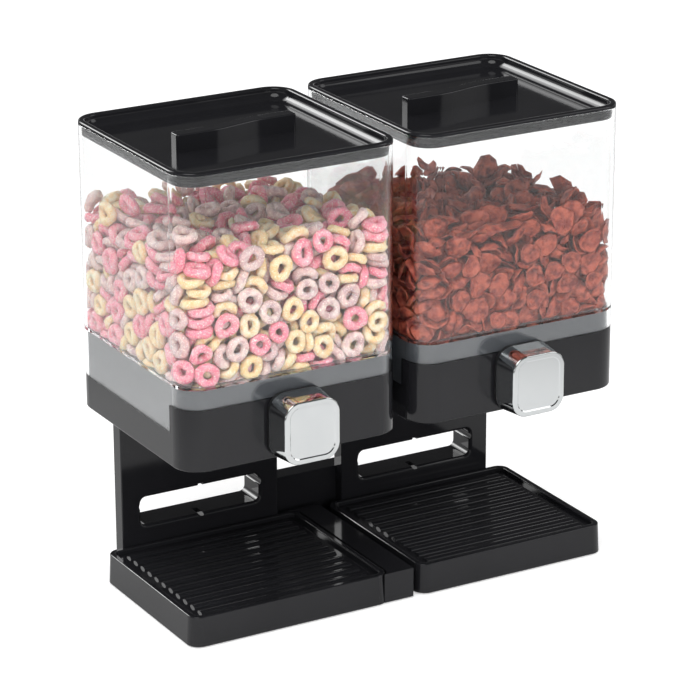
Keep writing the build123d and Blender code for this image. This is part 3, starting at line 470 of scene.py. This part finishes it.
# baked cereal: colour wanders from piece to piece, and within a piece a patch colour follows the same noise
# that lifts the lumps, so where it is paler than the base (the flakes) it is painted highlight on the lumps and
# painted shade in the folds; a paler crust of sugar lies in specks, crumbs and crystals lift the surface, and
# light goes a little way in where glowWeight says so
def bakedCereal(name, look):
    material, tree = newMaterial(name)
    place = addNode(tree, "ShaderNodeTexCoord").outputs["Object"]
    tone = addNode(tree, "ShaderNodeAttribute", {"attribute_name": "pieceTone"}).outputs["Fac"]
    dough = addNode(tree, "ShaderNodeTexNoise",
                    {"Scale": perMetre(look["doughMm"]), "Detail": 3.0}, {"Vector": place})
    crust = addNode(tree, "ShaderNodeTexNoise",
                    {"Scale": perMetre(look["crustMm"]), "Detail": 4.0, "Roughness": 0.7}, {"Vector": place})
    baked = addNode(tree, "ShaderNodeMix",
                    {"data_type": "RGBA", 6: linear(look["colour"]), 7: linear(look["toned"])}, {0: tone})
    # patch colour laid where the lumps rise: on the flakes it is painted highlight there and painted shade in
    # the folds
    patchAndHighlightShare = addNode(tree, "ShaderNodeMapRange", {1: look["patchAndHighlightFrom"], 2: look["patchAndHighlightFull"]},
                     {"Value": dough.outputs["Fac"]})
    mottledAndShaded = addNode(tree, "ShaderNodeMix", {"data_type": "RGBA", 7: linear(look["patchAndHighlight"])},
                      {0: patchAndHighlightShare.outputs[0], 6: baked.outputs[2]})
    specks = addNode(tree, "ShaderNodeMapRange", {1: look["crustFrom"], 2: look["crustFull"]},
                     {"Value": crust.outputs["Fac"]})
    crusted = addNode(tree, "ShaderNodeMix", {"data_type": "RGBA", 7: linear(look["crust"])},
                      {0: specks.outputs[0], 6: mottledAndShaded.outputs[2]})
    gloss = addNode(tree, "ShaderNodeMapRange", {3: look["gloss"][0], 4: look["gloss"][1]},
                    {"Value": crust.outputs["Fac"]})
    lumps = addNode(tree, "ShaderNodeBump",
                    {"Strength": look["lumpStrength"], "Distance": look["lumpMm"] / 1000},
                    {"Height": dough.outputs["Fac"]})
    crumbs = addNode(tree, "ShaderNodeBump",
                     {"Strength": look["crumbStrength"], "Distance": look["crumbMm"] / 1000},
                     {"Height": crust.outputs["Fac"], "Normal": lumps.outputs["Normal"]})
    shader = addNode(tree, "ShaderNodeBsdfPrincipled",
                     {"IOR": look["ior"], "Subsurface Weight": look["glowWeight"],
                      "Subsurface Scale": look["glowMm"] / 1000, "Subsurface Radius": look["glowColour"]},
                     {"Base Color": crusted.outputs[2], "Roughness": gloss.outputs[0],
                      "Normal": crumbs.outputs["Normal"]})
    finishMaterial(tree, shader)
    return material


# sugared corn loops in three colours, coarse sugar crystals about 0.8 mm, drawn a little coarser so that
# they show
sugared = {
    "crust": "#fff6ec", "crustFrom": 0.52, "crustFull": 0.64, "patchAndHighlightFrom": 0.38, "patchAndHighlightFull": 0.6,
    "doughMm": 4.0, "crustMm": 1.0, "gloss": (0.5, 0.75), "ior": 1.45,
    "lumpMm": 0.6, "lumpStrength": 0.6, "crumbMm": 0.4, "crumbStrength": 0.8,
    "glowWeight": 0.9, "glowMm": 4.5, "glowColour": (1.0, 0.72, 0.58),
}
loopShades = {
    "Pink": {"colour": "#fb94a8", "toned": "#fcb6bf", "patchAndHighlight": "#f27f97"},
    "Cream": {"colour": "#fbdaa6", "toned": "#fde9d0", "patchAndHighlight": "#f5ca90"},
    "Mauve": {"colour": "#e3c3c0", "toned": "#f1dad2", "patchAndHighlight": "#ceabad"},
}
loopColours = {
    colourName: bakedCereal("sugared_corn_" + colourName.lower(), {**sugared, **shade})
    for colourName, shade in loopShades.items()
}
# chocolate wheat flakes: baked red-brown, greasy sheen, with painted shade in the folds and a painted highlight
# where blisters rise
chocolateFlake = bakedCereal("chocolate_wheat_flake", {
    "colour": "#6a221c", "toned": "#832f27", "patchAndHighlight": "#ba5c47",
    "crust": "#cc7d5b", "crustFrom": 0.58, "crustFull": 0.7, "patchAndHighlightFrom": 0.38, "patchAndHighlightFull": 0.6,
    "doughMm": 5.5, "crustMm": 1.8, "gloss": (0.3, 0.5), "ior": 1.45,
    "lumpMm": 3.0, "lumpStrength": 0.8, "crumbMm": 0.5, "crumbStrength": 0.6,
    "glowWeight": 0.0, "glowMm": 1.0, "glowColour": (1.0, 0.4, 0.3),
})

# loops, mm: eight balls on a ring stand in for each while it settles
loopLook = {
    "count": 1330, "seed": 5, "pitch": 18.0, "rise": 14.0, "pull": 0.035, "steps": 300, "quickSteps": 12,
    "balls": 8, "ballRadius": 3.5, "sizes": (0.88, 1.08), "ringRadius": 5.75, "tubeRadius": 3.05,
    "tallness": 1.04, "oval": 0.09, "lumps": 0.08, "bend": 0.7, "along": 12, "round": 6,
    "heap": {"half": 79.0, "crown": 283.0, "fall": 4.0, "tilt": (5.0, 4.0)},
}
rng = np.random.default_rng(loopLook["seed"])
loopPoints, loopSize = loopShapes(loopLook["count"], loopLook, rng)
ringBalls = ballCircle(loopLook["balls"], loopLook["ringRadius"])
loopCentre, loopTurn = settle(
    ringBalls * loopSize[:, None, None], loopLook["ballRadius"] * loopSize, hopperRoom, loopLook, rng)
loopKept = underHeap(loopCentre, loopLook["heap"])
loopKind = rng.permutation(loopLook["count"]) % len(loopColours)
for kind, (colourName, colourMaterial) in enumerate(loopColours.items()):
    mine = loopKept & (loopKind == kind)
    loopFaces = gridFaces(int(mine.sum()), loopLook["along"], loopLook["round"], True)
    addFood("left" + colourName + "Loops", "left", loopPoints[mine], loopCentre[mine], loopTurn[mine],
            loopFaces, colourMaterial, rng)
print("loops settled:", int(loopKept.sum()))

# flakes, mm: seven balls stand in for each, six round the cup and one in its middle; rows run from the top's
# middle over the rim to the underside's, each with its share of the radius and of the thickness
flakeLook = {
    "count": 1600, "seed": 8, "pitch": 17.5, "rise": 13.0, "pull": 0.035, "steps": 300, "quickSteps": 12,
    "balls": 6, "ballRadius": 2.75, "ballRing": 5.6, "ballRise": 3.0, "sizes": (0.8, 1.2), "radius": 8.2,
    "spread": (1.0, 1.12), "cupDepth": (3.5, 7.5), "thickness": 1.5, "twist": 1.6, "boss": 1.7,
    "groove": 0.7, "flare": 0.35, "curl": 0.9, "sink": 0.3, "oval": 0.1, "lobes": 0.08, "round": 12,
    "rows": (0.42, 0.78, 1.0, 0.8, 0.42), "rowSides": (0.5, 0.45, 0.0, -0.45, -0.5),
    "heap": {"half": 79.0, "crown": 280.0, "fall": 17.0, "tilt": (1.0, 8.0)},
}
rng = np.random.default_rng(flakeLook["seed"])
flakePoints, flakeSize = flakeShapes(flakeLook["count"], flakeLook, rng)
cupBalls = ballCircle(flakeLook["balls"], flakeLook["ballRing"]) + (0, 0, flakeLook["ballRise"])
cupBalls = np.concatenate([cupBalls, np.zeros((1, 3))])
flakeCentre, flakeTurn = settle(
    cupBalls * flakeSize[:, None, None], flakeLook["ballRadius"] * flakeSize, hopperRoom, flakeLook, rng)
flakeKept = underHeap(flakeCentre, flakeLook["heap"])
flakeFaces = gridFaces(int(flakeKept.sum()), len(flakeLook["rows"]), flakeLook["round"], False)
addFood("rightFlakes", "right", flakePoints[flakeKept], flakeCentre[flakeKept], flakeTurn[flakeKept],
        flakeFaces, chocolateFlake, rng)
print("flakes settled:", int(flakeKept.sum()))


# 1 for rays of the kinds named that have met no dull surface on their way, and 0 for all others
def shownTo(tree, rays, kinds):
    total = rays.outputs[kinds[0]]
    for kind in kinds[1:]:
        total = addNode(tree, "ShaderNodeMath", {"operation": "ADD", "use_clamp": True},
                        {0: total, 1: rays.outputs[kind]}).outputs[0]
    direct = addNode(tree, "ShaderNodeMath", {"operation": "LESS_THAN", 1: 0.5},
                     {0: rays.outputs["Diffuse Depth"]})
    return addNode(tree, "ShaderNodeMath", {"operation": "MULTIPLY"}, {0: total, 1: direct.outputs[0]})


# 1 for a mirror's rays, and 0 for those that came through a clear wall
def mirrorOnly(tree, rays):
    return addNode(tree, "ShaderNodeMath", {"operation": "SUBTRACT", "use_clamp": True},
                   {0: rays.outputs["Is Glossy Ray"], 1: rays.outputs["Is Transmission Ray"]})


# floor: white, big enough to fill the view, and it keeps the shadow; the lift brings what the camera sees of
# it up to white, and in mirrors only it is painted darker away from the part, a painted shade in what the gloss
# parts reflect
floorLook = {
    # far: the grey painted into the floor for mirror rays only, a painted shade in the reflections
    "reach": 6.0, "colour": "#f2f2f2", "far": "#747474", "lift": 0.36, "mirrorShadeFrom": 0.5, "mirrorShadeTo": 0.95,
}
reach = floorLook["reach"]
floorCorners = [(-reach, -reach, 0), (reach, -reach, 0), (reach, reach, 0), (-reach, reach, 0)]
floorMesh = bpy.data.meshes.new("studioFloor")
floorMesh.from_pydata(floorCorners, [], [(0, 1, 2, 3)])
floorObject = bpy.data.objects.new("studioFloor", floorMesh)
bpy.context.scene.collection.objects.link(floorObject)
floorMaterial, floorTree = newMaterial("white_studio_floor")
floorRays = addNode(floorTree, "ShaderNodeLightPath")
floorPlace = addNode(floorTree, "ShaderNodeTexCoord")
floorOut = addNode(floorTree, "ShaderNodeVectorMath", {"operation": "LENGTH"},
                   {0: floorPlace.outputs["Object"]})
floorMirrorShadeShare = addNode(floorTree, "ShaderNodeMapRange", {1: floorLook["mirrorShadeFrom"], 2: floorLook["mirrorShadeTo"]},
                   {"Value": floorOut.outputs["Value"]})
floorMirror = mirrorOnly(floorTree, floorRays)
floorMirrorShade = addNode(floorTree, "ShaderNodeMath", {"operation": "MULTIPLY"},
                   {0: floorMirrorShadeShare.outputs[0], 1: floorMirror.outputs[0]})
floorPaintAndMirrorShade = addNode(floorTree, "ShaderNodeMix",
                    {"data_type": "RGBA", 6: linear(floorLook["colour"]), 7: linear(floorLook["far"])},
                    {0: floorMirrorShade.outputs[0]})
floorPaint = addNode(floorTree, "ShaderNodeBsdfDiffuse", links={"Color": floorPaintAndMirrorShade.outputs[2]})
floorShown = shownTo(floorTree, floorRays, ("Is Camera Ray", "Is Transmission Ray"))
floorLift = addNode(floorTree, "ShaderNodeMath", {"operation": "MULTIPLY", 1: floorLook["lift"]},
                    {0: floorShown.outputs[0]})
floorGlow = addNode(floorTree, "ShaderNodeEmission", {"Color": (1, 1, 1, 1)},
                    {"Strength": floorLift.outputs[0]})
floorBoth = addNode(floorTree, "ShaderNodeAddShader", links={0: floorPaint.outputs[0], 1: floorGlow.outputs[0]})
finishMaterial(floorTree, floorBoth)
floorMesh.materials.append(floorMaterial)

# world: where it is seen or mirrored, a white backdrop as high as backdropTop with a dim ceiling above it,
# and in mirrors a soft box round the direction boxTowards; where it lights, an even soft fill
worldLook = {
    "fill": 0.72, "backdropTop": 0.08, "ceilingFrom": 0.22, "ceiling": 0.06,
    "boxTowards": (-0.35, 0.8, 0.49), "boxFrom": 0.92, "boxFull": 1.0, "box": 7.0,
}
world = bpy.data.worlds.new("studioWorld")
bpy.context.scene.world = world
world.use_nodes = True
worldTree = world.node_tree
worldTree.nodes.clear()
worldRays = addNode(worldTree, "ShaderNodeLightPath")
worldShown = shownTo(worldTree, worldRays, ("Is Camera Ray", "Is Glossy Ray", "Is Transmission Ray"))
sky = addNode(worldTree, "ShaderNodeTexCoord")
skyParts = addNode(worldTree, "ShaderNodeSeparateXYZ", links={0: sky.outputs["Generated"]})
backdrop = addNode(worldTree, "ShaderNodeMapRange",
                   {1: worldLook["backdropTop"], 2: worldLook["ceilingFrom"], 3: 1.0, 4: worldLook["ceiling"]},
                   {"Value": skyParts.outputs["Z"]})
aside = addNode(worldTree, "ShaderNodeVectorMath", {"operation": "DOT_PRODUCT", 1: worldLook["boxTowards"]},
                {0: sky.outputs["Generated"]})
box = addNode(worldTree, "ShaderNodeMapRange",
              {1: worldLook["boxFrom"], 2: worldLook["boxFull"], 4: worldLook["box"]},
              {"Value": aside.outputs["Value"]})
worldMirror = mirrorOnly(worldTree, worldRays)
mirrored = addNode(worldTree, "ShaderNodeMath", {"operation": "MULTIPLY"},
                   {0: box.outputs[0], 1: worldMirror.outputs[0]})
shining = addNode(worldTree, "ShaderNodeMath", {"operation": "ADD"},
                  {0: backdrop.outputs[0], 1: mirrored.outputs[0]})
strength = addNode(worldTree, "ShaderNodeMix", {"data_type": "FLOAT", 2: worldLook["fill"]},
                   {0: worldShown.outputs[0], 3: shining.outputs[0]})
glow = addNode(worldTree, "ShaderNodeBackground", {"Color": (1, 1, 1, 1)}, {"Strength": strength.outputs[0]})
addNode(worldTree, "ShaderNodeOutputWorld", links={"Surface": glow.outputs[0]})

# lamps: a large soft key from above left, weaker ones from the right and low in front, one behind for the
# lids; the low one keeps out of mirrors, or it would glare in the clear walls
lampLooks = {
    "keyLamp": {"at": (-1.1, -1.0, 1.9), "size": 1.6, "power": 23.0, "mirrored": True},
    "sideLamp": {"at": (1.5, -1.2, 1.2), "size": 1.2, "power": 8.0, "mirrored": True},
    "frontLamp": {"at": (-0.5, -2.3, 0.55), "size": 1.0, "power": 10.0, "mirrored": False},
    "backLamp": {"at": (-1.3, 2.4, 1.6), "size": 1.1, "power": 17.0, "mirrored": True},
}
lampTarget = Vector((0, 0, 0.15))  # near the part's middle
for lampName, look in lampLooks.items():
    lamp = bpy.data.lights.new(lampName, "AREA")
    lamp.shape = "DISK"
    lamp.size = look["size"]
    lamp.energy = look["power"]
    lampObject = bpy.data.objects.new(lampName, lamp)
    lampObject.visible_glossy = look["mirrored"]
    lampObject.location = look["at"]
    lampObject.rotation_euler = (lampTarget - lampObject.location).to_track_quat("-Z", "Y").to_euler()
    bpy.context.scene.collection.objects.link(lampObject)

# camera: long lens from the front left and a little above, as in the photograph; angles in degrees
cameraLook = {
    "at": (-1.05434, -1.83288, 0.92253), "lens": 169.71, "sensor": 36.0, "near": 0.05, "far": 50.0,
    "yaw": 29.758, "pitch": -19.798, "roll": -0.17,
}
cameraData = bpy.data.cameras.new("camera")
cameraData.sensor_width = cameraLook["sensor"]
cameraData.lens = cameraLook["lens"]
cameraData.clip_start = cameraLook["near"]
cameraData.clip_end = cameraLook["far"]
cameraObject = bpy.data.objects.new("camera", cameraData)
aim = Euler((math.radians(90 + cameraLook["pitch"]), 0, -math.radians(cameraLook["yaw"]))).to_matrix()
aim = aim @ Matrix.Rotation(math.radians(cameraLook["roll"]), 3, "Z")
cameraObject.matrix_world = Matrix.Translation(cameraLook["at"]) @ aim.to_4x4()
bpy.context.scene.collection.objects.link(cameraObject)
bpy.context.scene.camera = cameraObject
bpy.context.scene.view_settings.view_transform = "Standard"
print("studio set")
